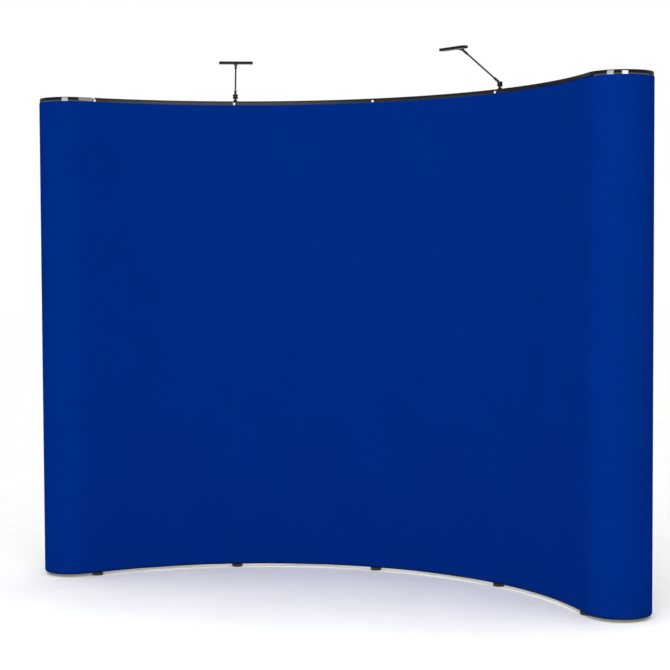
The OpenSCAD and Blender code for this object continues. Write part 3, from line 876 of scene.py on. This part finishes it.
def column_pairs(column):
    """The same for a column's scissors, whose pins lie along the wall and cross half-way."""
    pin = column_place(column)[:3, 0]
    for row in range(ROWS):
        low, high = row_z(row) + PIN_X, row_z(row + 1) - PIN_X
        rising = (point(column, STRUT_OFF, HUB_DEPTH, low),
                  point(column, STRUT_OFF, REAR_HUB_DEPTH, high))
        falling = (point(column, -STRUT_OFF, REAR_HUB_DEPTH, low),
                   point(column, -STRUT_OFF, HUB_DEPTH, high))
        yield (rising, falling), pin, (rising[0] + rising[1]) / 2 - STRUT_OFF * pin


def struts_of(pairs):
    """One shape of all the struts of some scissors."""
    return joined([placed(strut(np.linalg.norm(b - a)), between(a, b, pin))
                   for ends, pin, _ in pairs for a, b in ends])


for bay in range(1, BAYS + 1):
    new_piece(f"bay_tubes_{bay}", struts_of(bay_pairs(bay)), "root", [tube_finish], "tube",
              [f"bay_struts_{bay}"])
for column in range(1, COLUMNS + 1):
    new_piece(f"column_tubes_{column}", struts_of(column_pairs(column)), "root", [tube_finish],
              "tube", [f"column_struts_{column}"])

# %% [markdown]
# ## Rivets
#
# A rivet holds each scissor at its crossing: a shank with a domed head pressed at both ends. Two
# squashed spheres and a cylinder would do; one profile spun round its axis has no hidden faces.

# %% Rivets
HEAD_R, HEAD_T = 4 * MM, 2 * MM
SHANK_R = 2 * MM
REACH = STRUT_OFF + STRUT_R + 0.15 * MM  # a rivet head's flat from the crossing point


def rivet():
    """Two domed heads on a shank: each head's radius follows a quarter ellipse."""
    f = np.linspace(0.08, 1, 5) * math.pi / 2
    dome = np.column_stack([HEAD_R * np.sin(f), REACH + HEAD_T * np.cos(f)])
    half = np.vstack([dome, [[HEAD_R, REACH], [SHANK_R, REACH], [SHANK_R, REACH - 0.5 * MM]]])
    return skin(turned(np.vstack([half, half[::-1] * [1, -1]]), 16))


def standing(origin, axis):
    """A place whose Z axis is the given one."""
    turn_to = Vector((0, 0, 1)).rotation_difference(Vector(axis)).to_matrix()
    place = np.eye(4)
    place[:3, :3] = np.array(turn_to)
    place[:3, 3] = origin
    return place


scissors = [pair for bay in range(1, BAYS + 1) for pair in bay_pairs(bay)]
scissors += [pair for column in range(1, COLUMNS + 1) for pair in column_pairs(column)]
rivets = joined([placed(rivet(), standing(middle, pin)) for _, pin, middle in scissors])
new_piece("domed_rivets", rivets, "root", [steel_finish], "rivet", ["scissor_rivets"])

# %% [markdown]
# ## Hubs and locks
#
# A hub is a moulded block with a slot for every strut. A magnetic cup on one rod grips the plug on
# the next, and that holds the frame open. Slots modelled again would gain nothing, so hubs, cups
# and plugs are softened copies; pins and rods are plain turned stock that only needs its finish.

# %% Hubs, pins and locks
HUB_EDGE_R, LOCK_EDGE_R = 0.7 * MM, 0.6 * MM
softened("front_hub_mouldings", "front_hubs", "root", hub_finish, "hub", HUB_EDGE_R, 1)
softened("rear_hub_mouldings", "rear_hubs", "root", hub_finish, "hub", HUB_EDGE_R, 1)
softened("lock_cup_mouldings", "lock_cups", "root", hub_finish, "hub", LOCK_EDGE_R)
softened("lock_plug_mouldings", "lock_plugs", "root", hub_finish, "hub", LOCK_EDGE_R)
refinish("hub_pins", steel_finish)
refinish("front_lock_rods", rod_finish)
refinish("rear_lock_rods", rod_finish)

# %% [markdown]
# ## Feet and hooks
#
# Every bottom hub stands on a flared foot, a turned shape with a small radius where it meets the
# floor. The white hook pins have a low mushroom head, which is what shows in the seams of the rail.
# Both could be softened copies, but a turned profile gives a true dome and an even toe.

# %% Feet and hooks
FOOT_R, FOOT_H = 26 * MM, 14.7 * MM
TOE_R, SHOULDER_R, SHOULDER_H = 2 * MM, 5 * MM, 4.4 * MM
HOOK_R, HOOK_Z = 6 * MM, 2227 * MM  # HOOK_Z: above the floor
HOOK_SHANK_R, HOOK_SHANK_END = 3 * MM, -20.6 * MM
HOOK_BACK, HOOK_FACE = -2.8 * MM, 0.2 * MM  # a head's underside and rim, from the fabric's face
HOOK_DOME = 1.6 * MM


def foot():
    """Base, rounded toe, upright wall and a sloping shoulder."""
    f = np.linspace(0, math.pi / 2, 5)
    toe = np.column_stack([FOOT_R - TOE_R + TOE_R * np.sin(f), TOE_R - TOE_R * np.cos(f)])
    shoulder = np.column_stack([FOOT_R - SHOULDER_R + SHOULDER_R * np.cos(f),
                                FOOT_H - SHOULDER_R + SHOULDER_H * np.sin(f)])
    waist = [[FOOT_R - 6.5 * MM, FOOT_H - 0.5 * MM], [FOOT_R - 7 * MM, FOOT_H]]
    return skin(turned(np.vstack([[[FOOT_R - SHOULDER_R, 0.0]], toe, shoulder, waist]), 48))


def hook():
    """Shank along Z, then a head whose face is a shallow dome; Z points out of the display face."""
    f = np.linspace(math.pi / 2, 0.1, 6)
    dome = np.column_stack([HOOK_R * np.sin(f), HOOK_FACE + HOOK_DOME * np.cos(f)])
    shank = [[HOOK_SHANK_R, HOOK_SHANK_END], [HOOK_SHANK_R, HOOK_BACK],
             [HOOK_R - 0.4 * MM, HOOK_BACK], [HOOK_R, HOOK_BACK + 0.4 * MM]]
    return skin(turned(np.vstack([shank, dome]), 32))


foot_places = [column_place(column, 0, depth)
               for column in range(1, COLUMNS + 1) for depth in (HUB_DEPTH, REAR_HUB_DEPTH)]
feet = joined([placed(foot(), place) for place in foot_places])
new_piece("moulded_feet", feet, "root", [foot_finish], "foot", ["feet"])
hooks = [placed(hook(), standing(point(column, 0, 0, HOOK_Z), -column_place(column)[:3, 1]))
         for column in range(1, COLUMNS + 1)]
# The hook beside the right-hand end panel is a black one, so it sinks into the rail
hooks[-1].finish = np.ones_like(hooks[-1].finish)
new_piece("moulded_hooks", joined(hooks), "root", [hook_finish, hub_finish], "hook", ["hook_pins"])

# %% [markdown]
# ## The lights
#
# Each light clips into the slot of a top hub. A steel post carries a swivel, an arm hinges on the
# swivel, and a slim head tilts at the arm's tip. Their blocks and rods are simple, so softened
# copies carry the shape, and what those lack is added after them as new surfaces.

# %% Light copies
LIGHT_COLUMN = {"left": 2, "right": BAYS}
# Copied nodes: (new name, body, finish, slot, edge radius in mm, steps of the rounding)
LIGHT_COPIES = {
    "light_clamp": ("light_clamp_block", "root", coat_finish, "light_clamp", 0.8, 2),
    "light_swivel": ("light_swivel_block", "swivel", coat_finish, "light_clamp", 0.5, 2),
    "light_arm": ("light_arm_rod", "arm", arm_finish, "light_arm", 0.3, 2),
    "light_head": ("light_head_body", "head", coat_finish, "light_head", 1.6, 3),
    "light_lens": ("light_diffuser", "head", lens_finish, "light_lens", 0.3, 2),
}
for side in SIDES:
    for node, (name, body, finish, slot, edge, steps) in LIGHT_COPIES.items():
        body = body if body == "root" else f"{body}_{side}"
        softened(f"{name}_{side}", f"{node}_{side}", body, finish, slot, edge * MM, steps)

# %% [markdown]
# ## Sleeves and collars
#
# Ribbed rubber sleeves grip both ends of an arm, and a collar closes the foot of its post. Ribs
# could be a bump, but in the profile itself they also show on the outline.

# %% Sleeves and posts
RISE = {"left": math.radians(26.5), "right": math.radians(29)}  # of the arms at rest
PIVOT_Z, POST_Z = 2269 * MM, 2241.35 * MM  # an arm's pivot, and the foot of the collar
ARM_LENGTH = 270 * MM
ARM_BORE = 4.05 * MM
RIB_DEPTH = 0.35 * MM
# Sleeves: (distance from the pivot, length, radius, ribs)
SLEEVES = ((9 * MM, 30 * MM, 6.2 * MM, 5), (ARM_LENGTH - 36 * MM, 24 * MM, 5.7 * MM, 4))
# The collar's profile: (radius, height), from its foot up
COLLAR = np.array([[4.2, 0], [8.6, 0], [9, 0.4], [9, 6.2], [8.2, 7], [5, 7.4], [4.2, 8.4],
                   [4.1, 11]]) * MM


def sleeve(length, radius, ribs):
    """A ribbed sleeve along Z: a raised cosine thins it between ribs; both ends are closed."""
    z = np.linspace(0, length, 8 * ribs + 1)
    radius = radius - RIB_DEPTH * (1 + np.cos(2 * math.pi * ribs * z / length)) / 2
    wall = np.column_stack([radius, z])
    return skin(turned(np.vstack([[[ARM_BORE, 0.0]], wall, [[ARM_BORE, length]]]), 28))


def arm_axis(side):
    """An arm points out over the display face and rises."""
    back = column_place(LIGHT_COLUMN[side])[:3, 1]
    return -math.cos(RISE[side]) * back + math.sin(RISE[side]) * UP


for side in SIDES:
    axis = arm_axis(side)
    pivot = point(LIGHT_COLUMN[side], STRUT_OFF, HUB_DEPTH, PIVOT_Z)
    sleeves = joined([placed(sleeve(*size), standing(pivot + start * axis, axis))
                      for start, *size in SLEEVES])
    new_piece(f"light_arm_sleeves_{side}", sleeves, f"arm_{side}", [sleeve_finish], "light_arm")
    post = column_place(LIGHT_COLUMN[side], STRUT_OFF, HUB_DEPTH, POST_Z)
    new_piece(f"light_post_{side}", placed(skin(turned(COLLAR, 32)), post), "root",
              [coat_finish], "light_clamp")

# %% [markdown]
# ## Screws
#
# A hand screw clamps each light to its hub. Its head is scalloped for grip. The lobes could be cut
# with a Boolean modifier; taken off the radius of a turned profile they are one formula.

# %% Screws
SCREW_Z, JAW_Y = 2230 * MM, 11.3 * MM  # JAW_Y: the clamp's back from the hub's axis
# The screw's profile: (radius, height), from its tip to the end of its head
SCREW = np.array([[2.5, 0], [2.5, 6.4], [6.4, 6.4], [7, 7], [7, 13], [6.4, 14.4], [4, 15],
                  [1, 15.2]]) * MM
LOBES, LOBE_DEPTH = 12, 0.7 * MM


def knob():
    """A screw along Z: a plain shank, then a head scalloped by lobes, with a domed end."""
    return skin(turned(SCREW, 72, LOBES, LOBE_DEPTH))


for side in SIDES:
    at = point(LIGHT_COLUMN[side], STRUT_OFF, HUB_DEPTH + JAW_Y, SCREW_Z)
    back = column_place(LIGHT_COLUMN[side])[:3, 1]
    new_piece(f"light_screw_knob_{side}", placed(knob(), standing(at, back)), "root",
              [coat_finish], "light_clamp", [f"light_screw_{side}"])

# %% [markdown]
# ## The floor
#
# A pale seamless floor runs out of sight. It is only a stage, so it isn't part of the object. A
# plane would do; a disc keeps its edge the same distance away from every view.

# %% Floor
FLOOR_R, FLOOR_SIDES = 40.0, 96
floor_mesh = bpy.data.meshes.new("studio_floor")
angle = np.linspace(0, 2 * math.pi, FLOOR_SIDES, endpoint=False)
rim = FLOOR_R * np.column_stack([np.cos(angle), np.sin(angle), np.zeros(FLOOR_SIDES)])
floor_mesh.from_pydata(rim.tolist(), [], [list(range(FLOOR_SIDES))])
floor = bpy.data.objects.new("studio_floor", floor_mesh)
scene.collection.objects.link(floor)
floor_mesh.materials.append(grained(
    "seamless_paper", "#f4f4f4", "#f8f8f8", 400 * MM, (0.75, 0.9), 0.01 * MM))
print("floor radius:", FLOOR_R, "m")
